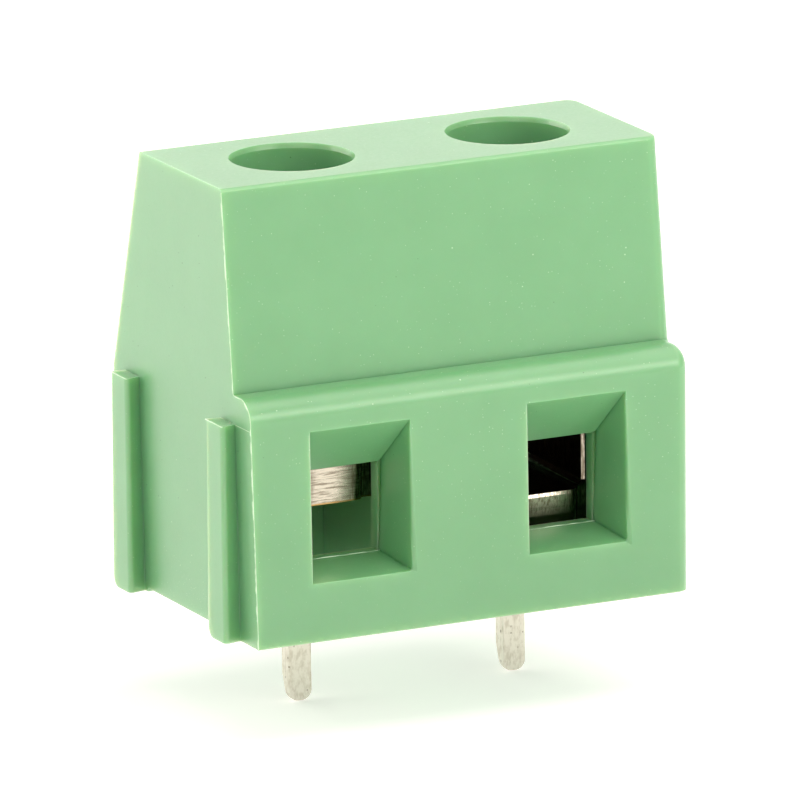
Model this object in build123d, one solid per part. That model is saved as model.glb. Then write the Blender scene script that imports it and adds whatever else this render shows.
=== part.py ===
from build123d import *
import os

# Terminal block for a printed circuit board, with one rising cage clamp in each pole.
# The origin lies on the board's surface, midway between the solder pins of the first and last pole.
# The wires enter from the front, which is -Y, and the screws are turned from above, which is +Z.
# Sizes are in millimetres. Every "setback" is a distance behind the foot of the front face.

os.makedirs("parts", exist_ok=True)

# Poles
pole_count = 2
pitch = 7.5
end_margin = 0.12

# Housing outline
housing_height = 14.25
housing_depth = 10.2
pin_setback = 5.25
parting_height = 6.95
shoulder_height = 7.87
shoulder_setback = 1.35
top_front_setback = 2.05
top_depth = 6.0
front_draft = 0.12
lower_side_draft = 0.1
upper_side_draft = 0.03
shoulder_radius = 0.75
shoulder_root_radius = 0.05
right_corner_radius = 0.45
top_edge_radius = 0.12
relief_rib_gap = 0.05
relief_depth = 0.12

# Stacking ribs on the left side and their grooves on the right side
rib_protrusion = 0.5
rib_width = 1.22
rib_undercut = 0.12
front_rib_setback = 1.15
rib_spacing = 7.02
rib_end_radius = 0.35
groove_clearance = 0.08

# Wire entries
entry_offset = -0.13
entry_width = 3.48
entry_bottom = 1.86
entry_top = 6.82
funnel_depth = 1.75
throat_width = 2.72
throat_bottom = 2.17
throat_top = 5.05
ledge_at_top = 0.2
ledge_at_bottom = 0.04

# Contacts, each bent from one strip that ends in its solder pin
contact_thickness = 0.55
contact_width = 2.2
contact_bend_radius = 0.55
bar_underside = 5.35
bar_seat_depth = 0.3
foot_underside = 0.6
pin_width = 0.8
pin_length = 3.3
pin_tip_radius = 0.34
pin_tip_bevel = 0.3
pin_tip_bevel_height = 0.85
pin_shoulder_gap = 0.95

# Clamp cages
screw_setback = 5.02
cage_width = 3.8
cage_depth = 4.34
cage_sill = 1.3
cage_window_height = 2.95
cage_roof = 1.5
cage_side_wall = 0.5
cage_bend_radius = 0.4
cage_window_radius = 0.25
lip_proud = 0.4
lip_width = 2.1
lip_radius = 0.38
cage_side_clearance = 0.15
cage_end_clearance = 0.23
roof_clearance = 0.12
sill_clearance = 0.05
chamber_headroom = 0.15
cage_rest_raise = (1.87, 0.0)

# Clamp screws
thread_radius = 1.25
thread_clearance = 0.03
screw_tip_chamfer = 0.25
screw_end_play = 0.05
head_radius = 1.8
head_height = 1.6
head_chamfer = 0.2
slot_width = 0.7
slot_depth = 0.9
neck_radius = 1.4
neck_length = 0.6
bore_clearance = 0.13
lead_in_width = 0.05
lead_in_depth = 0.2

# Housing positions worked out from the sizes above
housing_width = pole_count * pitch + 2 * end_margin
front_y = -pin_setback
back_y = front_y + housing_depth
right_x = housing_width / 2
top_back_setback = top_front_setback + top_depth
pole_positions = [(pole - (pole_count - 1) / 2) * pitch for pole in range(pole_count)]

# Clamp positions
screw_y = front_y + screw_setback
cage_front_y = screw_y - cage_depth / 2
cage_back_y = screw_y + cage_depth / 2
cage_height = cage_sill + cage_window_height + cage_roof
cage_window_width = cage_width - 2 * cage_side_wall
bar_top = bar_underside + contact_thickness
lowest_sill = bar_top + roof_clearance - cage_window_height
highest_sill = bar_underside - sill_clearance
cage_travel = highest_sill - lowest_sill

# Chamber positions
chamber_width = cage_width + 2 * cage_side_clearance
chamber_front_y = cage_front_y - lip_proud - cage_end_clearance
chamber_back_y = cage_back_y + cage_end_clearance
chamber_top = highest_sill - cage_sill + cage_height + chamber_headroom
neck_top = chamber_top + neck_length
bore_radius = head_radius + bore_clearance
outer_wall_x = pole_positions[-1] + chamber_width / 2
leg_back_y = chamber_back_y + contact_thickness
bar_front_y = chamber_front_y - bar_seat_depth


def block(x_low, x_high, y_low, y_high, z_low, z_high):
    """Plain block between two corners."""
    centre = ((x_low + x_high) / 2, (y_low + y_high) / 2, (z_low + z_high) / 2)
    return Pos(*centre) * Box(x_high - x_low, y_high - y_low, z_high - z_low)


def side_outline():
    """Housing seen from its right side: shouldered front, narrow top and sloping back."""
    points = [
        (front_y, 0),
        (front_y + front_draft, shoulder_height),
        (front_y + shoulder_setback, shoulder_height),
        (front_y + top_front_setback, housing_height),
        (front_y + top_back_setback, housing_height),
        (back_y, parting_height),
        (back_y, 0),
    ]
    roundings = [
        (points[1], shoulder_radius),
        (points[2], shoulder_root_radius),
    ]
    with BuildSketch(Plane.YZ) as outline:
        Polygon(*points, align=None)
        for corner, radius in roundings:
            fillet(outline.vertices().sort_by_distance(corner)[0], radius)
    return outline.sketch


def front_outline():
    """Housing seen from the front: widest where the mould parts, with draft both ways."""
    foot = right_x - lower_side_draft
    top = right_x - upper_side_draft
    points = [
        (-foot, 0),
        (foot, 0),
        (right_x, parting_height),
        (top, housing_height),
        (-top, housing_height),
        (-right_x, parting_height),
    ]
    return Plane.XZ * Polygon(*points, align=None)


def rib_section(gap=0.0):
    """Dovetail across a rib in plan, its root on the side wall at x = 0 and its face towards -X."""
    half_face = rib_width / 2 + gap
    half_root = half_face - rib_undercut
    depth = rib_protrusion + gap
    sink = right_corner_radius
    points = [
        (-depth, half_face),
        (-depth, -half_face),
        (0, -half_root),
        (sink, -half_root),
        (sink, half_root),
        (0, half_root),
    ]
    return Polygon(*points, align=None)


def rib_side_view(rib_y):
    """Limits of a rib seen from the side, with its lower rear corner rounded off."""
    half = rib_width / 2
    with BuildSketch(Plane.YZ) as view:
        Polygon(
            (rib_y - half, 0),
            (rib_y + half, 0),
            (rib_y + half, parting_height),
            (rib_y - half, parting_height),
            align=None,
        )
        fillet(view.vertices().sort_by_distance((rib_y + half, 0))[0], rib_end_radius)
    return extrude(view.sketch, amount=-housing_width)


def rib_places():
    """Middle of each rib along Y."""
    first = front_y + front_rib_setback + rib_width / 2
    return [first, first + rib_spacing]


def funnel(pole_x):
    """Wire entry: a steep ramp above, near-level floor below, and a stepped throat behind."""
    middle = pole_x + entry_offset
    mouth_half = entry_width / 2
    top_half = throat_width / 2 + ledge_at_top
    bottom_half = throat_width / 2 + ledge_at_bottom
    mouth_plane = Plane((middle, front_y, 0), x_dir=(1, 0, 0), z_dir=(0, -1, 0))
    inner_plane = Plane((middle, front_y + funnel_depth, 0), x_dir=(1, 0, 0), z_dir=(0, -1, 0))
    mouth = mouth_plane * Polygon(
        (-mouth_half, entry_bottom),
        (mouth_half, entry_bottom),
        (mouth_half, entry_top),
        (-mouth_half, entry_top),
        align=None,
    )
    inner = inner_plane * Polygon(
        (-bottom_half, throat_bottom),
        (bottom_half, throat_bottom),
        (top_half, throat_top),
        (-top_half, throat_top),
        align=None,
    )
    ramped = loft([mouth, inner], ruled=True)
    throat = block(
        middle - throat_width / 2, middle + throat_width / 2,
        front_y + funnel_depth / 2, chamber_front_y,
        throat_bottom, throat_top,
    )
    return ramped + throat


def chamber(pole_x):
    """Room for one cage, open below, with the contact's seats and the screw's stepped bore."""
    room = block(
        pole_x - chamber_width / 2, pole_x + chamber_width / 2,
        chamber_front_y, chamber_back_y,
        0, chamber_top,
    )
    leg_slot = block(
        pole_x - contact_width / 2, pole_x + contact_width / 2,
        chamber_back_y, leg_back_y,
        0, bar_top,
    )
    bar_notch = block(
        pole_x - contact_width / 2, pole_x + contact_width / 2,
        bar_front_y, chamber_front_y,
        bar_underside, bar_top,
    )
    bore_profile = Plane.XZ * Polygon(
        (0, chamber_top),
        (neck_radius, chamber_top),
        (neck_radius, neck_top),
        (bore_radius, neck_top),
        (bore_radius, housing_height - lead_in_depth),
        (bore_radius + lead_in_width, housing_height),
        (0, housing_height),
        align=None,
    )
    bore = Pos(pole_x, screw_y, 0) * revolve(bore_profile, Axis.Z)
    return room + leg_slot + bar_notch + bore


def housing():
    """Moulded housing in one piece."""
    from_side = extrude(side_outline(), amount=right_x, both=True)
    from_front = extrude(front_outline(), amount=housing_depth, both=True)
    body = from_side & from_front
    right_edges = [
        edge
        for edge in body.faces().sort_by(Axis.X)[-2:].edges()
        if abs(edge.tangent_at(0.5).Z) > 0.1 or edge.geom_type == GeomType.CIRCLE
    ]
    body = fillet(right_edges, right_corner_radius)
    top_front_edge = body.faces().sort_by(Axis.Z)[-1].edges().sort_by(Axis.Y)[0]
    body = fillet(top_front_edge, top_edge_radius)
    for rib_y in rib_places():
        rib = Pos(-right_x, rib_y, 0) * extrude(rib_section(), amount=parting_height)
        body += rib & rib_side_view(rib_y)
        groove = Pos(right_x, rib_y, 0) * extrude(rib_section(groove_clearance), amount=parting_height)
        body -= groove
    front_rib_y, rear_rib_y = rib_places()
    rib_reach = rib_width / 2 + relief_rib_gap
    for x_low, x_high in ((-right_x, -outer_wall_x), (outer_wall_x, right_x)):
        body -= block(
            x_low, x_high,
            front_rib_y + rib_reach, rear_rib_y - rib_reach,
            0, relief_depth,
        )
    for pole_x in pole_positions:
        body -= chamber(pole_x)
        body -= funnel(pole_x)
    return body


def cage(pole_x, raise_now):
    """Rising cage: sill below the wire, two side walls and a tapped roof, with a lip on the sill."""
    bottom = lowest_sill - cage_sill + raise_now
    top = bottom + cage_height
    body = block(
        pole_x - cage_width / 2, pole_x + cage_width / 2,
        cage_front_y, cage_back_y,
        bottom, top,
    )
    body = fillet(body.edges().filter_by(Axis.Y), cage_bend_radius)
    window = block(
        pole_x - cage_window_width / 2, pole_x + cage_window_width / 2,
        cage_front_y, cage_back_y,
        bottom + cage_sill, top - cage_roof,
    )
    body -= fillet(window.edges().filter_by(Axis.Y), cage_window_radius)
    lip = block(
        pole_x - lip_width / 2, pole_x + lip_width / 2,
        cage_front_y - lip_proud, cage_front_y + cage_side_wall,
        bottom, bottom + cage_sill,
    )
    front_corners = lip.edges().filter_by(Axis.Z).group_by(Axis.Y)[0]
    body += fillet(front_corners, lip_radius)
    tapped = Pos(pole_x, screw_y, top - cage_roof / 2) * Cylinder(
        thread_radius + thread_clearance, cage_roof * 2
    )
    tapped &= block(
        pole_x - cage_width, pole_x + cage_width,
        cage_front_y, cage_back_y,
        top - cage_roof, top,
    )
    return body - tapped


def screw(pole_x):
    """Slotted clamp screw: head on the housing's neck, tip just above the contact's bar."""
    tip = bar_top + screw_end_play
    seat = neck_top + screw_end_play
    top = seat + head_height
    profile = Plane.XZ * Polygon(
        (0, tip),
        (thread_radius - screw_tip_chamfer, tip),
        (thread_radius, tip + screw_tip_chamfer),
        (thread_radius, seat),
        (head_radius, seat),
        (head_radius, top - head_chamfer),
        (head_radius - head_chamfer, top),
        (0, top),
        align=None,
    )
    body = Pos(pole_x, screw_y, 0) * revolve(profile, Axis.Z)
    slot = block(
        pole_x - head_radius * 2, pole_x + head_radius * 2,
        screw_y - slot_width / 2, screw_y + slot_width / 2,
        top - slot_depth, top + slot_depth,
    )
    return body - slot


def strip(points, width, pole_x):
    """Bent strip of the contact's thickness along points in the YZ plane."""
    with BuildSketch(Plane.YZ) as section:
        with BuildLine():
            FilletPolyline(*points, radius=contact_bend_radius)
        trace(line_width=contact_thickness)
    return Pos(pole_x, 0, 0) * extrude(section.sketch, amount=width / 2, both=True)


def contact(pole_x):
    """Contact strip: bar through the cage, leg behind it, foot below it and the solder pin."""
    bar_z = bar_underside + contact_thickness / 2
    leg_y = chamber_back_y + contact_thickness / 2
    foot_z = foot_underside + contact_thickness / 2
    wide_end_y = pin_shoulder_gap
    wide = strip(
        [(bar_front_y, bar_z), (leg_y, bar_z), (leg_y, foot_z), (wide_end_y, foot_z)],
        contact_width,
        pole_x,
    )
    narrow = strip(
        [(wide_end_y + contact_thickness, foot_z), (0, foot_z), (0, -pin_length)],
        pin_width,
        pole_x,
    )
    tip_edges = narrow.edges().filter_by(Axis.Y).group_by(Axis.Z)[0]
    narrow = fillet(tip_edges, pin_tip_radius)
    rear_y = contact_thickness / 2
    bevel = Plane.YZ * Polygon(
        (rear_y, -pin_length),
        (rear_y, pin_tip_bevel_height - pin_length),
        (rear_y - pin_tip_bevel, -pin_length),
        align=None,
    )
    narrow -= Pos(pole_x, 0, 0) * extrude(bevel, amount=pin_width, both=True)
    return wide + narrow


def write(shape, node):
    """Save one piece under its node's name."""
    export_step(shape, f"parts/{node}.step")


write(housing(), "housing")
for pole, pole_x in enumerate(pole_positions):
    write(cage(pole_x, cage_rest_raise[pole]), f"clamp_cage_{pole + 1}")
    write(screw(pole_x), f"clamp_screw_{pole + 1}")
    write(contact(pole_x), f"contact_{pole + 1}")
print("cage travel", round(cage_travel, 3))
for pole in range(pole_count):
    down = -cage_rest_raise[pole]
    up = cage_travel - cage_rest_raise[pole]
    print("cage", pole + 1, "range from rest", round(down, 3), round(up, 3))
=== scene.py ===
# %% [markdown]
# # A screw terminal block, dressed for its photograph
#
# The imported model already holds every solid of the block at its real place: a moulded housing, two
# rising clamp cages, two clamp screws and two bent contacts. These cells give them what a camera sees:
# softened moulded edges, mould flash, cut threads, brushed and plated metal, and soft studio light.
# Nothing is moved. Each visible piece stands for its solid. The housing, the cages and the contacts are
# copies of theirs with finer edges, and the screws are built anew because they need a real thread.

# %% Load the fixed frame
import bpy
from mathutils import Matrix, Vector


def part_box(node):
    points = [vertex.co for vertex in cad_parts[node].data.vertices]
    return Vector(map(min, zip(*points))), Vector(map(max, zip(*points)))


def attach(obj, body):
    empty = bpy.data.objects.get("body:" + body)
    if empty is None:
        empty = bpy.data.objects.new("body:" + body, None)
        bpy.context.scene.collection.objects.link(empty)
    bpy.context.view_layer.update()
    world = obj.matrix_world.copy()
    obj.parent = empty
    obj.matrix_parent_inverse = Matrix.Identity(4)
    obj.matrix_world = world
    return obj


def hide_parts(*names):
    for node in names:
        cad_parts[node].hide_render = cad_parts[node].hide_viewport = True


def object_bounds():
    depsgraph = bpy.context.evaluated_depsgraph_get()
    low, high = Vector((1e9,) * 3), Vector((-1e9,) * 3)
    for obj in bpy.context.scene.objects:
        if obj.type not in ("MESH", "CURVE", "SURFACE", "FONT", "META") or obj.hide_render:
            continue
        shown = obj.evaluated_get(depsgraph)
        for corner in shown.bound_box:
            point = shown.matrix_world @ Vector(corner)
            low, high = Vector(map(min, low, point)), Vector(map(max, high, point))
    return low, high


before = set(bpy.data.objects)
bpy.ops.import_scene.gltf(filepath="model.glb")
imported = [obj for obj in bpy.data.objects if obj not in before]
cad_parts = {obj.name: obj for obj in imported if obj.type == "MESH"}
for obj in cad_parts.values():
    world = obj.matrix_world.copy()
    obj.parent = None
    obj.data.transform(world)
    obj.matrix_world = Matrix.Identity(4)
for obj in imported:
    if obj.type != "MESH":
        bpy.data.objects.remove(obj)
cad_low, cad_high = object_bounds()
print("solids in the frame:", sorted(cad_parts))

# %% Lengths and the tools that every cell shares
import math

import bmesh
import bpy
from mathutils import Matrix, Vector, noise

MM = 0.001
UP = Vector((0, 0, 1))
POLES = (1, 2)
bpy.context.scene.view_settings.view_transform = "Standard"
print("the block measures", [round(v / MM, 2) for v in cad_high - cad_low], "mm")


def middle_of(node):
    """Middle of a node's box in the frame."""
    low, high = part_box(node)
    return (low + high) / 2


# %% [markdown]
# ## Camera
#
# The photograph was taken from the left and a little above, from far away with a long lens, so that
# parallel edges stay nearly parallel. A long lens on a distant camera gives the same flat perspective.
# The camera leans by less than a degree, as the photograph does.

# %% Camera
VIEW_AZIMUTH = 25.76
VIEW_ELEVATION = 14.08
VIEW_DISTANCE = 437.5 * MM
VIEW_AIM = Vector((-0.04, -0.06, 5.95)) * MM
VIEW_LEAN = -0.8
LENS_MM = 626.7
CLIP_NEAR_M = 0.05
CLIP_FAR_M = 5


def towards(azimuth, elevation):
    """Direction from the block to something at that angle left of the front and above the board."""
    turn, rise = math.radians(azimuth), math.radians(elevation)
    return Vector((-math.sin(turn) * math.cos(rise), -math.cos(turn) * math.cos(rise), math.sin(rise)))


def facing(place, aim):
    """Placement of a lamp or camera that looks from place to aim."""
    turn = (aim - place).to_track_quat("-Z", "Y").to_matrix().to_4x4()
    return Matrix.Translation(place) @ turn


camera_data = bpy.data.cameras.new("camera")
camera_data.lens = LENS_MM
camera_data.clip_start = CLIP_NEAR_M
camera_data.clip_end = CLIP_FAR_M
camera = bpy.data.objects.new("camera", camera_data)
bpy.context.collection.objects.link(camera)
camera_place = VIEW_AIM + VIEW_DISTANCE * towards(VIEW_AZIMUTH, VIEW_ELEVATION)
camera.matrix_world = facing(camera_place, VIEW_AIM) @ Matrix.Rotation(math.radians(VIEW_LEAN), 4, "Z")
bpy.context.scene.camera = camera
print("camera at", [round(v / MM, 1) for v in camera_place], "mm")

# %% [markdown]
# ## Floor and light
#
# The block was shot on white, between large soft lamps. Two long ones at the right light the front, two
# overhead light the top, and the others light the left side and the back. A white world fills in the
# rest. Rays that the camera, a gloss or a glass sends out meet a full white. The light that the world
# casts on the block is much weaker, so the plastic keeps its colour and its faces differ.

# %% Helpers for materials
def linear(hex_colour):
    """Linear red, green, blue and alpha of an sRGB colour such as #8CC48E."""
    parts = [int(hex_colour[i:i + 2], 16) / 255 for i in (1, 3, 5)]
    return tuple(p / 12.92 if p <= 0.04045 else ((p + 0.055) / 1.055) ** 2.4 for p in parts) + (1.0,)


def add(tree, kind, inputs=None, **settings):
    """Add a node, set its options, and give its inputs a value or another node's output."""
    node = tree.nodes.new(kind)
    for name, value in settings.items():
        setattr(node, name, value)
    for name, value in (inputs or {}).items():
        if isinstance(value, bpy.types.NodeSocket):
            tree.links.new(value, node.inputs[name])
        else:
            node.inputs[name].default_value = value
    return node


def compute(tree, operation, *values):
    """Result of one sum on numbers or other nodes' outputs."""
    return add(tree, "ShaderNodeMath", dict(enumerate(values)), operation=operation).outputs[0]


def new_material(name):
    """An empty node material with its tree, and its output's surface socket."""
    material = bpy.data.materials.new(name)
    material.use_nodes = True
    tree = material.node_tree
    tree.nodes.clear()
    output = add(tree, "ShaderNodeOutputMaterial")
    return material, tree, output.inputs["Surface"]


def seen_directly(tree, by_camera, by_gloss):
    """One strength for the camera's rays, another for a gloss or a glass, and 0 for all other light."""
    path = add(tree, "ShaderNodeLightPath")
    gloss = compute(tree, "MAXIMUM", path.outputs["Is Glossy Ray"], path.outputs["Is Transmission Ray"])
    from_gloss = compute(tree, "MULTIPLY", gloss, by_gloss)
    from_camera = compute(tree, "MULTIPLY", path.outputs["Is Camera Ray"], by_camera)
    return compute(tree, "MAXIMUM", from_gloss, from_camera)


# %% World
SKY_SEEN = 1.0
SKY_LIGHT = 0.30

world = bpy.data.worlds.new("light_tent")
world.use_nodes = True
bpy.context.scene.world = world
sky = world.node_tree
sky.nodes.clear()
sky_strength = compute(sky, "MAXIMUM", seen_directly(sky, SKY_SEEN, SKY_SEEN), SKY_LIGHT)
sky_shader = add(sky, "ShaderNodeBackground", {"Strength": sky_strength})
sky_output = add(sky, "ShaderNodeOutputWorld")
sky.links.new(sky_shader.outputs[0], sky_output.inputs["Surface"])

# %% Soft boxes
LAMP_WHITE = "#FFFAF1"
LAMPS = (
    # name, azimuth, elevation, distance mm, width mm, height mm, watts
    ("key_box_front_right", -27, 21, 210, 150, 50, 0.088),
    ("key_box_higher", -27, 32, 210, 150, 50, 0.072),
    ("overhead_box", -80, 62, 190, 200, 200, 0.180),
    ("overhead_box_small", 10, 76, 190, 120, 120, 0.090),
    ("soft_box_front_left", 40, 28, 200, 140, 100, 0.062),
    ("soft_box_left", 142, 10, 190, 280, 180, 0.540),
    ("lit_backdrop", 200, 15, 230, 360, 150, 0.160),
)
CARD_PLACE = Vector((35, -70, -3)) * MM
CARD_WIDTH = 110
CARD_HEIGHT = 90
CARD_WATTS = 0.045


def soft_box(name, width, height, watts, placement):
    """A flat rectangular lamp that the camera doesn't see."""
    lamp_data = bpy.data.lights.new(name, "AREA")
    lamp_data.shape = "RECTANGLE"
    lamp_data.size = width * MM
    lamp_data.size_y = height * MM
    lamp_data.energy = watts
    lamp_data.color = linear(LAMP_WHITE)[:3]
    lamp = bpy.data.objects.new(name, lamp_data)
    bpy.context.collection.objects.link(lamp)
    lamp.matrix_world = placement
    lamp.visible_camera = False
    return lamp


for name, azimuth, elevation, distance, width, height, watts in LAMPS:
    soft_box(name, width, height, watts, facing(distance * MM * towards(azimuth, elevation), VIEW_AIM))
# A matt card lies on the floor in front. It fills the mouths from below and shows in no gloss.
card = soft_box("bounce_card", CARD_WIDTH, CARD_HEIGHT, CARD_WATTS, facing(CARD_PLACE, CARD_PLACE + UP))
card.visible_glossy = False
print("lamps:", len(LAMPS) + 1)

# %% Floor
FLOOR_RADIUS_M = 0.9
FLOOR_GAP = 0.02 * MM
FLOOR_WHITE = "#F2F2F0"
FLOOR_LIFT = 0.4
FLOOR_LIFT_IN_GLOSS = 0.7

bpy.ops.mesh.primitive_circle_add(vertices=96, radius=FLOOR_RADIUS_M, fill_type="NGON",
                                  location=(0, 0, cad_low.z - FLOOR_GAP))
floor = bpy.context.object
floor.name = "floor"
# Matt white paper that glows a little where it is seen, so that the part's shadow on it stays soft.
paper, tree, surface = new_material("matt_white_paper")
paper_white = add(tree, "ShaderNodeBsdfDiffuse", {"Color": linear(FLOOR_WHITE)})
paper_glow = add(tree, "ShaderNodeEmission",
                 {"Strength": seen_directly(tree, FLOOR_LIFT, FLOOR_LIFT_IN_GLOSS)})
paper_both = add(tree, "ShaderNodeAddShader", {0: paper_white.outputs[0], 1: paper_glow.outputs[0]})
tree.links.new(paper_both.outputs[0], surface)
floor.data.materials.append(paper)

# %% [markdown]
# ## Green plastic
#
# The housing is injection-moulded polyamide: a satin, slightly translucent green. Light goes a little
# way in, so an edge beside a bright face glows, and inner corners turn a deep pure green instead of
# grey. Close up the skin holds a faint mottling, and tiny pale and dark specks of dust and pigment.
# A wash of noise for the mottling, cell patterns for the specks and a shallow bump give all of that.

# %% Patterns in real millimetres
SMALLEST_SPECK = 0.45
SPECK_SOFT_EDGE = 0.35
# Most of a noise's values lie between these two.
NOISE_RANGE = (0.3, 0.7)


def in_millimetres(tree, offset=(0, 0, 0), stretch=(1, 1, 1)):
    """Object coordinates in millimetres, so that a pattern's scale is a count per millimetre."""
    place = add(tree, "ShaderNodeTexCoord")
    scale = tuple(s / MM for s in stretch)
    mapping = add(tree, "ShaderNodeMapping",
                  {"Vector": place.outputs["Object"], "Location": offset, "Scale": scale})
    return mapping.outputs["Vector"]


def spread(tree, value, low, high, to_low=0.0, to_high=1.0):
    """Value between low and high, stretched to another range."""
    between = add(tree, "ShaderNodeMapRange",
                  {"Value": value, "From Min": low, "From Max": high, "To Min": to_low, "To Max": to_high})
    return between.outputs["Result"]


def times(tree, first, second):
    """Product of two numbers or outputs."""
    return compute(tree, "MULTIPLY", first, second)


def mix_colours(tree, factor, first, second):
    """Colour that goes from first to second as factor goes from 0 to 1."""
    mix = add(tree, "ShaderNodeMix", {0: factor, 6: first, 7: second}, data_type="RGBA")
    return mix.outputs[2]


def noise_marks(tree, vector, per_mm, detail, roughness=0.5):
    """Height of a soft noise, 0 to 1, with that many marks per millimetre."""
    marks = add(tree, "ShaderNodeTexNoise",
                {"Vector": vector, "Scale": per_mm, "Detail": detail, "Roughness": roughness})
    return marks.outputs["Fac"]


def specks(tree, per_mm, radius_mm, share, offset):
    """1 inside scattered specks up to that radius, in that share of the cells, and 0 elsewhere."""
    cells = add(tree, "ShaderNodeTexVoronoi",
                {"Vector": in_millimetres(tree, offset), "Scale": per_mm, "Randomness": 1.0})
    luck = add(tree, "ShaderNodeSeparateColor", {"Color": cells.outputs["Color"]})
    largest = radius_mm * per_mm
    radius = spread(tree, luck.outputs[1], 0.0, 1.0, SMALLEST_SPECK * largest, largest)
    nearness = compute(tree, "SUBTRACT", radius, cells.outputs["Distance"])
    inside = spread(tree, nearness, 0.0, SPECK_SOFT_EDGE * largest)
    return times(tree, inside, compute(tree, "LESS_THAN", luck.outputs[0], share))


# %% Moulded polyamide
# Glass-filled polyamide, moulded in a fine-ground tool: satin, with a soft glow at lit edges.
PLASTIC_GREEN = "#79B480"
PLASTIC_GREEN_DEEP = "#76B17D"
FLASH_GREEN = "#D2ECCC"
PALE_SPECK = "#D6EED2"
DARK_SPECK = "#2F5634"
# Dust of 0.02 to 0.05 mm, drawn a little larger than it is so that it shows at this distance.
DUST = (
    # cells per mm, largest radius mm, share of the cells, offset, colour, strength
    (9.0, 0.021, 0.24, (3.1, 7.7, 1.3), PALE_SPECK, 0.42),
    (2.2, 0.036, 0.30, (9.4, 1.2, 6.6), PALE_SPECK, 0.60),
    (2.6, 0.030, 0.18, (8.4, 2.2, 5.6), DARK_SPECK, 0.65),
)
MOTTLING_PER_MM = 0.45
MOTTLING_RANGE = (0.35, 0.65)
WAVES_PER_MM = 0.7
WAVE_DEPTH = 0.010 * MM
GRAIN_PER_MM = 9.0
GRAIN_DEPTH = 0.0020 * MM
SATIN = (0.28, 0.36)
# Above polyamide's own 1.53, for the stronger sheen that the moulded skin has.
SKIN_IOR = 1.7
GLOW_REACH = (0.7, 0.5, 0.4)
GLOW_DEPTH = 1.6 * MM
HOUSING_GLOW = 1.0
FLASH_GLOW = 0.2


def moulded_polyamide(name, green, deep_green, glow):
    """Satin translucent moulded plastic with mottling, fine grain and specks."""
    material, tree, surface = new_material(name)
    mottling = noise_marks(tree, in_millimetres(tree), MOTTLING_PER_MM, 3.0, 0.55)
    patches = spread(tree, mottling, *MOTTLING_RANGE)
    colour = mix_colours(tree, patches, linear(green), linear(deep_green))
    for per_mm, radius, share, offset, tint, strength in DUST:
        there = specks(tree, per_mm, radius, share, offset)
        colour = mix_colours(tree, times(tree, there, strength), colour, linear(tint))
    grain = noise_marks(tree, in_millimetres(tree), GRAIN_PER_MM, 3.0, 0.6)
    waves = noise_marks(tree, in_millimetres(tree), WAVES_PER_MM, 1.0)
    wave_bump = add(tree, "ShaderNodeBump", {"Height": waves, "Strength": 1.0, "Distance": WAVE_DEPTH})
    grain_bump = add(tree, "ShaderNodeBump",
                     {"Height": grain, "Strength": 1.0, "Distance": GRAIN_DEPTH,
                      "Normal": wave_bump.outputs["Normal"]})
    satin = spread(tree, grain, *NOISE_RANGE, *SATIN)
    shader = add(tree, "ShaderNodeBsdfPrincipled",
                 {"Base Color": colour, "Roughness": satin, "IOR": SKIN_IOR,
                  "Subsurface Weight": glow, "Subsurface Radius": GLOW_REACH,
                  "Subsurface Scale": GLOW_DEPTH, "Normal": grain_bump.outputs["Normal"]})
    tree.links.new(shader.outputs[0], surface)
    return material


housing_plastic = moulded_polyamide("moulded_polyamide_green", PLASTIC_GREEN, PLASTIC_GREEN_DEEP,
                                    HOUSING_GLOW)
flash_plastic = moulded_polyamide("thin_mould_flash", FLASH_GREEN, FLASH_GREEN, FLASH_GLOW)
print("plastics:", housing_plastic.name, "and", flash_plastic.name)

# %% [markdown]
# ## Plated metal
#
# The cages are cut from drawn brass bar and nickel plated over their tool marks, so they are nearly
# mirrors crossed by fine streaks, and what they show is mostly their surroundings. Where the bar was
# sheared the plating is thin and warm brass shows. The contacts are brass, with a matt tin plate on
# their pins that handling has scuffed, and the screws are zinc plated steel.

# %% Plated metals
NICKEL = "#BFB6A7"
NICKEL_SHADE = "#857A6B"
# Painted shade for both ends of each lip, a painted reflection of the dark walls beside them.
NICKEL_PAINTED_DARK_ENDS = "#6A6052"
BRASS = "#A88752"
TIN = "#CBC6B9"
TIN_SHADE = "#B9B2A3"
TIN_SCUFF = "#6E685A"
# Painted shade for the contacts above the board, inside the housing.
CONTACT_PAINTED_SHADE = "#2A241C"
# Painted shade on the lower half of the right cage's lip.
LIP_IN_SHADE = "#4C4D3E"
ZINC = "#CFCFCB"
ZINC_SHADE = "#A8A8A4"
ROUGHNESS_SWING = 0.06
# Values of the marks between which a metal goes from its shade to its bright colour.
MARK_RANGE = (0.38, 0.54)
# Dents per mm, largest radius mm, share of the cells, offset
SCUFFS = (4.5, 0.07, 0.35, (2.2, 4.1, 0.7))
SCUFF_STRENGTH = 0.75
# Upright streaks in the painted shade at the lips' ends, per mm along X, Y and Z, and the least painted
# shade between them
END_SHADE_STREAKS = (14, 3, 1.5)
END_SHADE_RANGE = (0.42, 0.58)
END_SHADE_LEAST = 0.25


def streaks(tree, per_mm):
    """Noise with that many marks per millimetre along X, Y and Z."""
    return noise_marks(tree, in_millimetres(tree, stretch=per_mm), 1.0, 4.0, 0.65)


def band(tree, from_mm, to_mm):
    """0 below one height of the piece and 1 above the other, or the other way round."""
    height = add(tree, "ShaderNodeSeparateXYZ", {"Vector": in_millimetres(tree)})
    return spread(tree, height.outputs["Z"], from_mm, to_mm)


def both_ends(tree, centre_mm, from_mm, to_mm):
    """0 near a middle X and 1 past the second distance from it, to either side."""
    place = add(tree, "ShaderNodeSeparateXYZ", {"Vector": in_millimetres(tree)})
    distance = compute(tree, "ABSOLUTE", compute(tree, "SUBTRACT", place.outputs["X"], centre_mm))
    return spread(tree, distance, from_mm, to_mm)


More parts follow.
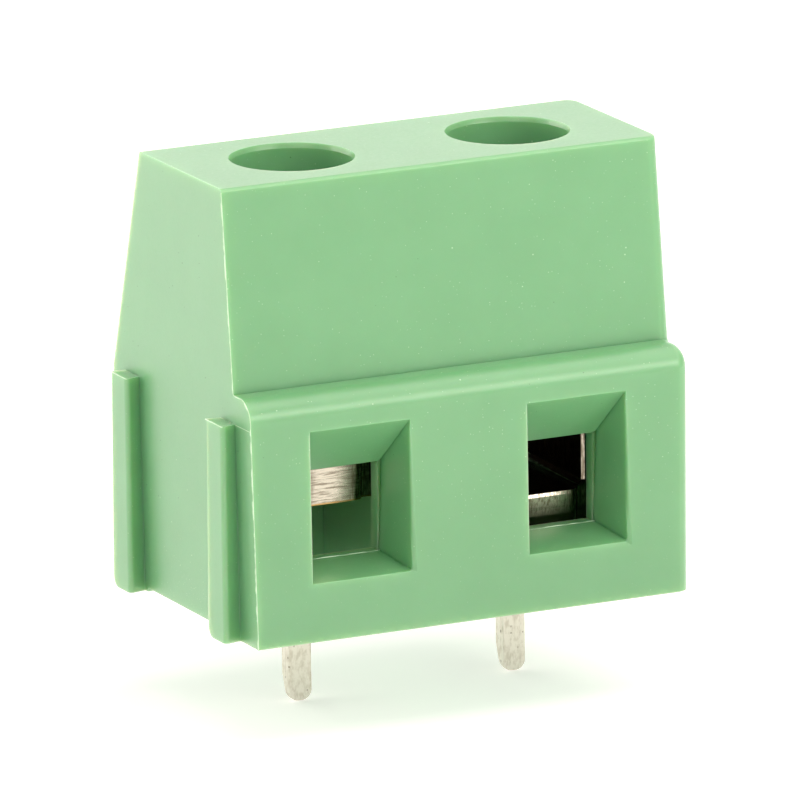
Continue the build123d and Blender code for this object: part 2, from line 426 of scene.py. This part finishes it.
def plated_metal(name, bright, shade, roughness, marks, depth_mm, other=None, scuff=None, ends=None):
    """Plated metal whose marks, 0 to 1, set its shade, its roughness and its bump.

    Other is a second colour and the two heights between which the metal changes to it. Scuff is the
    colour of small dents. Ends is a dark colour painted on both ends of the piece as painted shade, a
    painted reflection of the dark walls beside it, then the middle of the piece, and the two distances
    from it between which the painted shade begins.
    """
    material, tree, surface = new_material(name)
    height = marks(tree)
    colour = mix_colours(tree, spread(tree, height, *MARK_RANGE), linear(shade), linear(bright))
    if scuff:
        dents = specks(tree, *SCUFFS)
        colour = mix_colours(tree, times(tree, dents, SCUFF_STRENGTH), colour, linear(scuff))
    # Painted shade at both ends of a piece, a painted reflection of dark surroundings, in upright streaks.
    if ends:
        end_shade, centre_mm, from_mm, to_mm = ends
        upright = spread(tree, streaks(tree, END_SHADE_STREAKS), *END_SHADE_RANGE, END_SHADE_LEAST, 1.0)
        painted_end_shade = times(tree, both_ends(tree, centre_mm, from_mm, to_mm), upright)
        colour = mix_colours(tree, painted_end_shade, colour, linear(end_shade))
    if other:
        tint, from_mm, to_mm = other
        colour = mix_colours(tree, band(tree, from_mm, to_mm), colour, linear(tint))
    bump = add(tree, "ShaderNodeBump", {"Height": height, "Strength": 1.0, "Distance": depth_mm * MM})
    rough = spread(tree, height, *NOISE_RANGE, roughness + ROUGHNESS_SWING, roughness - ROUGHNESS_SWING)
    shader = add(tree, "ShaderNodeBsdfPrincipled",
                 {"Base Color": colour, "Metallic": 1.0, "Roughness": rough,
                  "Normal": bump.outputs["Normal"]})
    tree.links.new(shader.outputs[0], surface)
    return material


# %% Marks of each metal
# The left cage's lip was brushed along the bar, the right one's across it, as the photograph shows.
# On the left cage's bottom edge, where the bar was sheared, bare brass shows. The right cage's lip is
# painted darker towards its foot: painted shade, a painted reflection of the shaded mouth below it.
# Both ends of each lip are painted darker too: painted shade, a painted reflection of the dark walls
# beside them.
BARE_EDGE = (0.07, 0.03)
# Heights above the right cage's foot between which its lip turns to painted shade.
RIGHT_LIP_SHADE_BAND = (1.12, 0.55)
# Heights between which the contacts turn to their painted shade.
PAINTED_SHADE_ABOVE = (0.1, 0.4)
cage_ends = {pole: [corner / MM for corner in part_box(f"clamp_cage_{pole}")] for pole in POLES}
cage_foot = {pole: low.z for pole, (low, high) in cage_ends.items()}
cage_middle = {pole: (low.x + high.x) / 2 for pole, (low, high) in cage_ends.items()}
cage_metals = {
    1: plated_metal("nickel_plate_brushed_lengthwise", NICKEL, NICKEL_SHADE, 0.13,
                    lambda tree: streaks(tree, (1.3, 3, 15)), 0.005,
                    other=(BRASS, cage_foot[1] + BARE_EDGE[0], cage_foot[1] + BARE_EDGE[1]),
                    ends=(NICKEL_PAINTED_DARK_ENDS, cage_middle[1], 0.52, 0.78)),
    2: plated_metal("nickel_plate_brushed_upright", NICKEL, NICKEL_SHADE, 0.16,
                    lambda tree: streaks(tree, (16, 3, 5)), 0.004,
                    other=(LIP_IN_SHADE, cage_foot[2] + RIGHT_LIP_SHADE_BAND[0], cage_foot[2] + RIGHT_LIP_SHADE_BAND[1]),
                    ends=(NICKEL_PAINTED_DARK_ENDS, cage_middle[2], 0.40, 0.86)),
}
# Above the board the contact is painted dark: painted shade inside the housing, so that its gloss shows no
# light in the window.
contact_metal = plated_metal("matt_tin_plate", TIN, TIN_SHADE, 0.36,
                             lambda tree: streaks(tree, (7, 7, 3)), 0.006,
                             other=(CONTACT_PAINTED_SHADE, *PAINTED_SHADE_ABOVE), scuff=TIN_SCUFF)
screw_metal = plated_metal("zinc_plate", ZINC, ZINC_SHADE, 0.28,
                           lambda tree: streaks(tree, (5, 5, 9)), 0.003)
print("metals:", cage_metals[1].name, cage_metals[2].name, contact_metal.name, screw_metal.name)

# %% [markdown]
# ## Softer edges
#
# No moulded or stamped edge is knife sharp: each has a small radius that draws a line of light. The
# solids carry the large roundings. The small ones are cut here on a copy of the solid: its loose
# triangles are merged, flat faces are joined, the sharp outer edges are picked by their place and
# bevelled, and the normals are weighted so that flat faces stay flat.

# %% Copying and bevelling a solid
FLAT = math.radians(0.2)
SHARP = math.radians(24)
SHORTEST_ROUNDED = 0.03
CRISP_REACH = 0.005
FLAT_FACE_WEIGHT = 80
MERGE_SAME = 1e-7
MERGE_MOVED = 1e-6
ROUND_SIDES = 72


def only(piece):
    """Select nothing but this piece, and make it the active one."""
    for other in bpy.context.selected_objects:
        other.select_set(False)
    piece.select_set(True)
    bpy.context.view_layer.objects.active = piece


def edit_whole(piece):
    """Open a piece for editing, with all of its mesh selected."""
    only(piece)
    bpy.ops.object.mode_set(mode="EDIT")
    bpy.ops.mesh.select_all(action="SELECT")


def dressed_copy(node, name):
    """A merged copy of a node's mesh as a new piece, with its flat faces joined."""
    piece = bpy.data.objects.new(name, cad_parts[node].data.copy())
    piece.data.materials.clear()
    bpy.context.collection.objects.link(piece)
    only(piece)
    bpy.ops.mesh.customdata_custom_splitnormals_clear()
    edit_whole(piece)
    bpy.ops.mesh.remove_doubles(threshold=MERGE_SAME)
    bpy.ops.mesh.dissolve_limited(angle_limit=FLAT)
    bpy.ops.mesh.select_all(action="DESELECT")
    bpy.ops.object.mode_set(mode="OBJECT")
    return piece


def pick_edges(piece, wanted):
    """Open a piece and select the edges that pass a test, then count them.

    The test is given an edge's middle in millimetres, its bend outwards, the normals on both of its
    sides and its length in millimetres.
    """
    only(piece)
    bpy.ops.object.mode_set(mode="EDIT")
    bpy.ops.mesh.select_mode(type="EDGE")
    bpy.ops.mesh.select_all(action="DESELECT")
    shape = bmesh.from_edit_mesh(piece.data)
    count = 0
    for edge in shape.edges:
        if len(edge.link_faces) != 2:
            continue
        middle = (edge.verts[0].co + edge.verts[1].co) / 2 / MM
        normals = [face.normal for face in edge.link_faces]
        if wanted(middle, edge.calc_face_angle_signed(0), normals, edge.calc_length() / MM):
            edge.select = True
            count += 1
    bmesh.update_edit_mesh(piece.data)
    return count


def bevel_picked(width_mm, segments, careful=True):
    """Round the selected edges of the open piece. Careful narrows a rounding that would overlap."""
    bpy.ops.mesh.bevel(offset=width_mm * MM, offset_type="OFFSET", segments=segments, profile=0.5,
                       affect="EDGES", clamp_overlap=careful)


def round_edges(piece, wanted, width_mm, segments=3, careful=True):
    """Round the sharp outward edges that pass a test of their middle and their two normals."""
    count = pick_edges(piece, lambda middle, bend, normals, length: (
        bend > SHARP and length > SHORTEST_ROUNDED and wanted(middle, normals)))
    if count:
        bevel_picked(width_mm, segments, careful)
    bpy.ops.mesh.select_all(action="DESELECT")
    bpy.ops.object.mode_set(mode="OBJECT")
    return count


def even_normals(piece, crisp=None):
    """Smooth the roundings and keep the flat faces flat, and the edges at that height crisp."""
    only(piece)
    bpy.ops.object.shade_smooth_by_angle(angle=SHARP)
    if crisp:
        ends = [vertex.co.z / MM for vertex in piece.data.vertices]
        for edge in piece.data.edges:
            if all(abs(ends[i] - crisp) < CRISP_REACH for i in edge.vertices):
                edge.use_edge_sharp = True
    weighted = piece.modifiers.new("flat_faces", "WEIGHTED_NORMAL")
    weighted.keep_sharp = True
    weighted.weight = FLAT_FACE_WEIGHT
    bpy.ops.object.modifier_apply(modifier=weighted.name)


def move_points(piece, wanted, moved):
    """Move the points that pass the test, all in millimetres, and merge those that meet."""
    count = 0
    for vertex in piece.data.vertices:
        place = vertex.co / MM
        if wanted(place):
            vertex.co = moved(place) * MM
            count += 1
    edit_whole(piece)
    bpy.ops.mesh.remove_doubles(threshold=MERGE_MOVED)
    bpy.ops.mesh.dissolve_degenerate(threshold=MERGE_MOVED)
    bpy.ops.object.mode_set(mode="OBJECT")
    return count


def cut_across(piece, place, normal):
    """Add a loop of points where a plane, in millimetres, crosses the piece."""
    edit_whole(piece)
    bpy.ops.mesh.bisect(plane_co=Vector(place) * MM, plane_no=normal, threshold=MERGE_SAME)
    bpy.ops.mesh.select_all(action="DESELECT")
    bpy.ops.object.mode_set(mode="OBJECT")


def cylinder(radius_mm, height_mm, place):
    """Upright cylinder with its middle at that place in the frame."""
    bpy.ops.mesh.primitive_cylinder_add(vertices=ROUND_SIDES, radius=radius_mm * MM, depth=height_mm * MM,
                                        location=place)
    bpy.ops.object.transform_apply(location=True, rotation=False, scale=False)
    return bpy.context.object


def combine(piece, tool, operation):
    """Join, cut or trim a piece with a tool, and remove the tool."""
    only(piece)
    change = piece.modifiers.new("combine", "BOOLEAN")
    change.operation = operation
    change.object = tool
    change.solver = "EXACT"
    bpy.ops.object.modifier_apply(modifier=change.name)
    bpy.data.objects.remove(tool)


def finish_piece(piece, material, body, node):
    """Give a dressed piece its material and its place in the frame."""
    piece.data.materials.append(material)
    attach(piece, body)
    if node:
        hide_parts(node)
    print(piece.name, len(piece.data.polygons), "faces")


# %% Places on the housing
# All in millimetres, in the housing's own frame. They single out its edges and points, so most lie a
# little inside the face that they are named for.
SHOULDER_ROOT = Vector((0, -3.9, 7.87))
SHOULDER_ROOT_END_X = 7.2
FRONT_Y = -5.1
FRONT_FOOT_Y = -5.2
LEFT_X = -7.5
TOP_Z = 14.2
BOTTOM_Z = 0.01
RIB_FACE_X = -8
RIB_FOOT_Z = 0.5
RIB_TOP_Z = 6.9
RIB_SHORTEST_ROOT = 1
THROAT_RIM_Y = -3.5
LEDGE_POINTS_X = (-2.32, -2.48, 5.18, 5.02)
LEAD_IN_FOOT_Z = 14.05
PARTING_Z = 6.95
MOUTH_BOTTOM_Z = 1.8
MOUTH_TOP_Z = 6.9
MOUTHS_HALF = 5.7
MOUTH_RIGHT_EDGES = (-2.14, 5.36)
MOUTH_LEFT_EDGES = (-5.62, 1.88)
CHAMBERS_HALF = 5.9
CHAMBER_BACK_Y = 3.2
CHAMBER_BOTTOM_Z = 0.1
CHAMBER_TOP_Z = 7.8
HOLE_RIMS_Z = 14
# A face whose normal's X is below this looks to the left.
LEFTWARD = -0.9
# How far the leaning ledge and the lead-in's foot are moved, and the fillet at the ribs' roots.
LEDGE_LEAN = 0.16
LEAD_IN_RAISED = 0.04
RIB_ROOT_FILLET = 0.10


def near(value, places, reach=0.06):
    """True if a value is close to one of the places."""
    return any(abs(value - place) < reach for place in places)


def at_shoulder_root(place):
    """True for points in the corner where the shoulder meets the upper wall, but for its right end."""
    return (near(place.y, (SHOULDER_ROOT.y,)) and near(place.z, (SHOULDER_ROOT.z,))
            and place.x < SHOULDER_ROOT_END_X)


def at_leaning_ledge(place):
    """True for points at the right end of the ledge round a throat."""
    return near(place.y, (THROAT_RIM_Y,), 0.01) and near(place.x, LEDGE_POINTS_X, 0.015)


def in_rib_root(middle, bend, normals, length):
    """True on the inner edges where a rib grows out of the side."""
    return bend < -SHARP and middle.x < LEFT_X and middle.z < RIB_TOP_Z and length > RIB_SHORTEST_ROOT


def on_mouth(middle):
    """True on the four edges of a wire mouth, in the front wall."""
    return middle.y < FRONT_Y and MOUTH_BOTTOM_Z < middle.z < MOUTH_TOP_Z and abs(middle.x) < MOUTHS_HALF


def on_mouth_right(middle, normals):
    """True on the right edge of a wire mouth."""
    return on_mouth(middle) and near(middle.x, MOUTH_RIGHT_EDGES)


def on_mouth_top_or_bottom(middle, normals):
    """True on the upper and lower edges of a wire mouth. Its left edge stays sharp."""
    return on_mouth(middle) and not near(middle.x, MOUTH_RIGHT_EDGES + MOUTH_LEFT_EDGES)


def on_rib(middle, normals):
    """True on the upright outer edges of a rib."""
    upright = abs(normals[0].z) + abs(normals[1].z) < 0.2
    return upright and middle.x < RIB_FACE_X and RIB_FOOT_Z < middle.z < RIB_TOP_Z


def on_left_top(middle, normals):
    """True on the edge between the top and the left side."""
    return middle.x < LEFT_X and middle.z > TOP_Z and any(n.x < LEFTWARD for n in normals)


def on_bottom_front(middle, normals):
    """True on the bottom edge of the front wall."""
    return middle.y < FRONT_FOOT_Y and middle.z < BOTTOM_Z


def outside(middle, normals):
    """True away from the mouths and the chambers, so also on the rims of the screw holes."""
    inside = (middle.y < CHAMBER_BACK_Y and abs(middle.x) < CHAMBERS_HALF
              and CHAMBER_BOTTOM_Z < middle.z < CHAMBER_TOP_Z)
    return middle.z > HOLE_RIMS_Z or not inside


# %% Housing
HOUSING_ROUNDINGS = (
    # edges, radius mm, segments, kept from overlapping
    (on_mouth_right, 0.13, 4, True),
    (on_mouth_top_or_bottom, 0.08, 3, True),
    (on_rib, 0.18, 5, False),
    (on_left_top, 0.11, 4, True),
    (on_bottom_front, 0.12, 4, True),
    (outside, 0.045, 3, True),
)
housing = dressed_copy("housing", "moulded_shell")
raw_housing = housing.data.copy()
# The corner where the shoulder meets the upper wall is sharp on the real mould.
root_points = move_points(
    housing, at_shoulder_root,
    lambda place: Vector((place.x, SHOULDER_ROOT.y, SHOULDER_ROOT.z)))
# The ribs grow out of the side with a small fillet.
rib_roots = pick_edges(housing, in_rib_root)
bevel_picked(RIB_ROOT_FILLET, 4)
bpy.ops.object.mode_set(mode="OBJECT")
# The lead-in of a screw hole is a little shallower at its foot, so that it catches the key light.
lead_in_points = move_points(
    housing,
    lambda place: abs(place.z - LEAD_IN_FOOT_Z) < 0.01,
    lambda place: Vector((place.x, place.y, LEAD_IN_FOOT_Z + LEAD_IN_RAISED)))
# The ledge round the throat leans back on its right, so that it lies in shade.
ledge_points = move_points(housing, at_leaning_ledge, lambda place: place + Vector((0, LEDGE_LEAN, 0)))
rounded = [round_edges(housing, *rounding) for rounding in HOUSING_ROUNDINGS]
even_normals(housing, crisp=LEAD_IN_FOOT_Z + LEAD_IN_RAISED)
finish_piece(housing, housing_plastic, "housing", "housing")
print("points moved at the shoulder:", root_points, "lead-ins:", lead_in_points, "ledges:", ledge_points)
print("rib roots filled:", rib_roots, "housing edges rounded:", rounded)

# %% [markdown]
# ## Mould flash
#
# Where the parts of a mould meet, a little plastic creeps between them and stays on the part as a thin
# ragged fin. Fins run down the left front edge, round the tops of the ribs, and along the bottom and
# right edges of the throats, and the parting plane leaves a faint line across the left side. A fin is
# made from the housing's own edge lines: they are peeled off a plain copy, cut short, extruded
# outwards, roughened at their free side, and given a thickness.

# %% Peeling off edges and raising them
FIN_STEP_MM = 0.06
FIN_THICKNESS_MM = 0.022
# A fin's height is a usual share of the highest, plus a slow and a fast noise.
FIN_USUAL_SHARE = 0.28
FIN_SLOW_PER_MM, FIN_SLOW_SWING = 1.9, 1.7
FIN_FAST_PER_MM, FIN_FAST_SWING = 5.0, 1.2
FIN_FAST_OFFSET = Vector((5, 5, 5))


def raise_fin(name, wanted, outwards, lowest_mm, highest_mm, cut_at):
    """A ragged fin on the plain housing's edges that pass the test.

    Cut at is a height in millimetres at which the plain housing is first given a loop of edges, or
    None.
    """
    fin = bpy.data.objects.new(name, raw_housing.copy())
    bpy.context.collection.objects.link(fin)
    if cut_at:
        cut_across(fin, (0, 0, cut_at), UP)
    count = pick_edges(fin, wanted)
    bpy.ops.mesh.select_all(action="INVERT")
    bpy.ops.mesh.delete(type="EDGE")
    bpy.ops.mesh.select_all(action="SELECT")
    shape = bmesh.from_edit_mesh(fin.data)
    for edge in list(shape.edges):
        cuts = int(edge.calc_length() / MM / FIN_STEP_MM)
        if cuts:
            bmesh.ops.subdivide_edges(shape, edges=[edge], cuts=cuts)
    bmesh.update_edit_mesh(fin.data)
    bpy.ops.mesh.select_all(action="SELECT")
    push = Vector(outwards).normalized() * highest_mm * MM
    bpy.ops.mesh.extrude_edges_move(TRANSFORM_OT_translate={"value": push})
    shape = bmesh.from_edit_mesh(fin.data)
    for vertex in [v for v in shape.verts if v.select]:
        place = vertex.co / MM
        slow = noise.noise(place * FIN_SLOW_PER_MM)
        fast = noise.noise(place * FIN_FAST_PER_MM + FIN_FAST_OFFSET)
        share = min(1, max(0, FIN_USUAL_SHARE + FIN_SLOW_SWING * slow + FIN_FAST_SWING * fast))
        height = lowest_mm + (highest_mm - lowest_mm) * share
        vertex.co -= push * (1 - height / highest_mm)
    bmesh.update_edit_mesh(fin.data)
    bpy.ops.object.mode_set(mode="OBJECT")
    thick = fin.modifiers.new("thickness", "SOLIDIFY")
    thick.thickness = FIN_THICKNESS_MM * MM
    thick.offset = 0
    bpy.ops.object.modifier_apply(modifier=thick.name)
    print(name, count, "edges raised")
    return fin


# %% Fins
# The witness line needs a loop of its own, just above the points that the ribs' tops already have.
WITNESS_Z = PARTING_Z + 0.001
WITNESS_BACK_Y = -2.5
RIB_SIDE_X = -7.7
LEFT_EDGE_X = -7.45
LOWER_EDGE_Y = -4.9
UPPER_EDGE_Y = -3
UPPER_EDGE_FROM_Z, UPPER_EDGE_TO_Z = 6.98, 14.1
THROAT_BOTTOM_Z = 2.2
THROAT_TOP_Z = 5
THROAT_RIGHT_EDGES = (-2.52, 4.98)
OUTWARD_BEND = math.radians(20)


def on_left_front(middle, bend, normals, length):
    """True between the left side and the front of the housing, over the shoulder to the top."""
    left = any(n.x < LEFTWARD for n in normals)
    front = any(n.x > LEFTWARD and n.y < -0.3 or n.z > 0.3 for n in normals)
    lower = middle.y < LOWER_EDGE_Y
    upper = UPPER_EDGE_FROM_Z < middle.z < UPPER_EDGE_TO_Z and middle.y < UPPER_EDGE_Y
    return left and front and middle.x < LEFT_EDGE_X and (lower or upper)


def on_parting_line(middle, bend, normals, length):
    """True round the tops of the ribs, at the height where the mould parts."""
    return middle.x < RIB_SIDE_X and near(middle.z, (PARTING_Z,), 0.02) and bend > OUTWARD_BEND


def on_side_witness(middle, bend, normals, length):
    """True on the line across the flat left side at the parting plane, near the front rib."""
    return (RIB_SIDE_X < middle.x < LEFT_X and middle.y < WITNESS_BACK_Y
            and near(middle.z, (PARTING_Z,), 0.005))


def under_throat(middle, bend, normals, length):
    """True on the bottom edge of a throat, where the core pins of the mould met."""
    return near(middle.y, (THROAT_RIM_Y,), 0.02) and middle.z < THROAT_BOTTOM_Z


def beside_throat(middle, bend, normals, length):
    """True on the right edge of a throat."""
    return (near(middle.y, (THROAT_RIM_Y,), 0.02) and near(middle.x, THROAT_RIGHT_EDGES, 0.02)
            and THROAT_BOTTOM_Z < middle.z < THROAT_TOP_Z)


FINS = (
    # name, edges, outwards, lowest mm, highest mm, height of an extra loop, plastic
    ("flash_left_front", on_left_front, (-0.8, -0.6, 0), 0.002, 0.050, None, flash_plastic),
    ("flash_parting_line", on_parting_line, (-0.8, 0, 0.6), 0.001, 0.020, None, flash_plastic),
    ("flash_under_throats", under_throat, (0, 0.35, 0.94), 0.006, 0.024, None, flash_plastic),
    ("flash_beside_throats", beside_throat, (-1, -0.2, 0), 0.002, 0.010, None, housing_plastic),
    ("witness_on_left_side", on_side_witness, (-1, 0, 0.3), 0.001, 0.010, WITNESS_Z, flash_plastic),
)
for *fin_form, plastic in FINS:
    finish_piece(raise_fin(*fin_form), plastic, "housing", None)

# %% [markdown]
# ## Clamp cages
#
# Each cage is a block of brass with a window for the wire, a tapped roof for the screw and a lip that
# keeps the wire from slipping under it. The front edges of the window were rounded by tumbling before
# plating, and catch a bright line of light. The lip's bottom edge was sheared.

# %% Cages
CAGE_FRONT_Y = -2.40
SILL_HEIGHT = 1.3
ROOF_HEIGHT = 1.5
WINDOW_HALF = 1.40
LIP_PROUD = 0.4
LIP_WIDER = 1.12
LIP_LEAN = 0.15
LIP_CORNERS_HALF = 1.35
LIP_CORNER_FILLET = 0.07
CAGE_EDGE = 0.05
# How far an edge's points move, and how far from the edge the chamfer starts
LIP_CHAMFER = (0.05, 0.10)
RIM_CHAMFER = (0.10, 0.05)
REAMER_RADIUS = 1.285
REAMER_LENGTH = 0.2
# Outer edges are at the back, and at the front beyond the window.
OUTER_BACK_Y = 1.9
OUTER_FRONT_Y = -2.3
OUTER_HALF = 1.6


def dressed_cage(pole):
    """Cage of one pole, with its lip, its window's rim and its outer edges finished."""
    cage = dressed_copy(f"clamp_cage_{pole}", f"rising_cage_{pole}")
    low, high = cage_ends[pole]
    window_low = low.z + SILL_HEIGHT
    window_high = high.z - ROOF_HEIGHT
    centre_x = cage_middle[pole]

    def on_lip(place):
        """True for points that stand in front of the cage."""
        return place.y < CAGE_FRONT_Y - 0.005

    def leaned(place):
        """A point of the lip, spread sideways and set back towards its foot and at its top edge."""
        forwards = (CAGE_FRONT_Y - place.y) / LIP_PROUD
        back = LIP_LEAN * max(0, window_low - place.z) / SILL_HEIGHT
        if place.z > window_low - 0.01:
            back = LIP_CHAMFER[0]
        return Vector((centre_x + (place.x - centre_x) * LIP_WIDER, place.y + back * forwards, place.z))

    def on_window_rim(place):
        """True for points on the front ends of the window's two side walls."""
        return (abs(place.y - CAGE_FRONT_Y) < 0.005 and abs(abs(place.x - centre_x) - WINDOW_HALF) < 0.02
                and window_low + 0.02 < place.z < window_high)

    def opened_out(place):
        """A point of the window's rim, moved away from the middle."""
        return place + Vector((RIM_CHAMFER[0] if place.x > centre_x else -RIM_CHAMFER[0], 0, 0))

    def beside_lip(middle, bend, normals, length):
        """True in the inner corners where the lip's ends meet the front of the cage."""
        return (bend < -SHARP and abs(middle.y - CAGE_FRONT_Y) < 0.05
                and abs(middle.x - centre_x) < LIP_CORNERS_HALF)

    def on_outer_edge(middle, normals):
        """True on the edges of the cage's two ends, away from the lip and the window."""
        at_front = middle.y < OUTER_FRONT_Y and abs(middle.x - centre_x) > OUTER_HALF
        return middle.y > OUTER_BACK_Y or at_front

    # The tapped hole is reamed where it breaks into the window's rounded corners.
    axis = middle_of(f"clamp_screw_{pole}")
    reamer = cylinder(REAMER_RADIUS, REAMER_LENGTH, (axis.x, axis.y, window_high * MM))
    combine(cage, reamer, "DIFFERENCE")
    cut_across(cage, (0, CAGE_FRONT_Y + RIM_CHAMFER[1], 0), (0, 1, 0))
    cut_across(cage, (0, 0, window_low - LIP_CHAMFER[1]), UP)
    lip_points = move_points(cage, on_lip, leaned)
    rim_points = move_points(cage, on_window_rim, opened_out)
    corners = pick_edges(cage, beside_lip)
    if corners:
        bevel_picked(LIP_CORNER_FILLET, 4)
    bpy.ops.object.mode_set(mode="OBJECT")
    edges = round_edges(cage, on_outer_edge, CAGE_EDGE)
    even_normals(cage)
    print("points moved on the lip:", lip_points, "on the window's rim:", rim_points)
    print("inner corners filled:", corners, "outer edges rounded:", edges)
    return cage


for pole in POLES:
    node = f"clamp_cage_{pole}"
    finish_piece(dressed_cage(pole), cage_metals[pole], node, node)

# %% [markdown]
# ## Contacts
#
# A contact is stamped from flat brass strip and bent three times. Its corners are soft from stamping
# and plating, so every outward edge gets the same small radius.

# %% Contacts
CONTACT_EDGE = 0.06
for pole in POLES:
    contact = dressed_copy(f"contact_{pole}", f"bent_contact_{pole}")
    round_edges(contact, lambda middle, normals: True, CONTACT_EDGE)
    even_normals(contact)
    finish_piece(contact, contact_metal, "housing", f"contact_{pole}")

# %% [markdown]
# ## Clamp screws
#
# The screw is an M2.5 with a slotted cheese head. Its thread is a spiral, which no lathe profile can
# give, so one pitch of its profile is screwed upwards by the Screw modifier, cut level at both ends,
# trimmed to a chamfered tip, and joined to the head. The thread stays inside the plain shank that the
# solid has, because the solid's radius is the thread's crest.

# %% Thread
THREAD_PITCH = 0.45
THREAD_CREST = 1.25
THREAD_ROOT = 0.975
THREAD_FLAT = 0.05
THREAD_FLATS = 0.14
THREAD_STEPS = 40
TIP_CHAMFER = 0.25
HEAD_SEAT = 10.55
HEAD_RADIUS = 1.8
HEAD_CHAMFER = 0.2
HEAD_EDGE = 0.04
SLOT_WIDTH = 0.7
SLOT_DEPTH = 0.9


def cut_level(piece, height_mm, below):
    """Cut a piece at that height, keep one side and close the cut."""
    edit_whole(piece)
    bpy.ops.mesh.bisect(plane_co=(0, 0, height_mm * MM), plane_no=UP, threshold=MERGE_SAME,
                        clear_inner=not below, clear_outer=below, use_fill=True)
    bpy.ops.object.mode_set(mode="OBJECT")


def thread(low_mm, high_mm):
    """Closed threaded rod on the Z axis between two heights."""
    flank = (THREAD_PITCH - THREAD_FLATS) / 2
    profile = [(THREAD_ROOT, 0), (THREAD_ROOT, THREAD_FLAT), (THREAD_CREST, THREAD_FLAT + flank),
               (THREAD_CREST, 2 * THREAD_FLAT + flank), (THREAD_ROOT, THREAD_PITCH - THREAD_FLAT),
               (THREAD_ROOT, THREAD_PITCH)]
    start = low_mm - 1.5 * THREAD_PITCH
    shape = bpy.data.meshes.new("thread_profile")
    shape.from_pydata([(r * MM, 0, (start + z) * MM) for r, z in profile],
                      [(i, i + 1) for i in range(len(profile) - 1)], [])
    rod = bpy.data.objects.new("thread", shape)
    bpy.context.collection.objects.link(rod)
    only(rod)
    turns = rod.modifiers.new("turns", "SCREW")
    turns.angle = math.tau
    turns.screw_offset = THREAD_PITCH * MM
    turns.iterations = int((high_mm - low_mm) / THREAD_PITCH) + 4
    turns.steps = turns.render_steps = THREAD_STEPS
    turns.use_normal_calculate = True
    bpy.ops.object.modifier_apply(modifier=turns.name)
    edit_whole(rod)
    bpy.ops.mesh.remove_doubles(threshold=MERGE_MOVED)
    bpy.ops.object.mode_set(mode="OBJECT")
    cut_level(rod, low_mm, below=False)
    cut_level(rod, high_mm, below=True)
    edit_whole(rod)
    bpy.ops.mesh.normals_make_consistent(inside=False)
    bpy.ops.object.mode_set(mode="OBJECT")
    return rod


def chamfered_disc(radius_mm, low_mm, high_mm, chamfer_mm, at_top):
    """Cylinder on the Z axis with a chamfer round its top or its bottom."""
    disc = cylinder(radius_mm, high_mm - low_mm, (0, 0, (low_mm + high_mm) / 2 * MM))
    rim_z = high_mm if at_top else low_mm
    pick_edges(disc, lambda middle, bend, normals, length: abs(middle.z - rim_z) < 0.001)
    bpy.ops.mesh.bevel(offset=chamfer_mm * MM, segments=1, affect="EDGES")
    bpy.ops.object.mode_set(mode="OBJECT")
    return disc


# %% One screw on the Z axis, and its copies
def cheese_head_screw(tip_mm, seat_mm, top_mm):
    """Threaded screw with a slotted head, standing on the Z axis."""
    screw = thread(tip_mm, seat_mm + 0.3)
    # The envelope trims the thread's tip. It is 0.1 mm wider, and so is its chamfer.
    envelope = chamfered_disc(THREAD_CREST + 0.1, tip_mm, seat_mm + 1, TIP_CHAMFER + 0.1, at_top=False)
    combine(screw, envelope, "INTERSECT")
    head = chamfered_disc(HEAD_RADIUS, seat_mm, top_mm, HEAD_CHAMFER, at_top=True)
    # The saw that cuts the slot is a block of 2 mm height, and reaches past the head to both sides.
    bpy.ops.mesh.primitive_cube_add(size=1, location=(0, 0, (top_mm - SLOT_DEPTH + 1) * MM))
    saw = bpy.context.object
    saw.scale = (HEAD_RADIUS * 4 * MM, SLOT_WIDTH * MM, 2 * MM)
    bpy.ops.object.transform_apply(location=True, rotation=False, scale=True)
    combine(head, saw, "DIFFERENCE")
    round_edges(head, lambda middle, normals: middle.z > seat_mm + 0.1, HEAD_EDGE, segments=2)
    combine(screw, head, "UNION")
    even_normals(screw)
    return screw


screw_low, screw_high = (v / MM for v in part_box("clamp_screw_1"))
pattern_screw = cheese_head_screw(screw_low.z, HEAD_SEAT, screw_high.z)
for pole in POLES:
    node = f"clamp_screw_{pole}"
    screw = bpy.data.objects.new(f"slotted_screw_{pole}", pattern_screw.data.copy())
    bpy.context.collection.objects.link(screw)
    axis = middle_of(node)
    screw.data.transform(Matrix.Translation((axis.x, axis.y, 0)))
    finish_piece(screw, screw_metal, node, node)
bpy.data.objects.remove(pattern_screw)
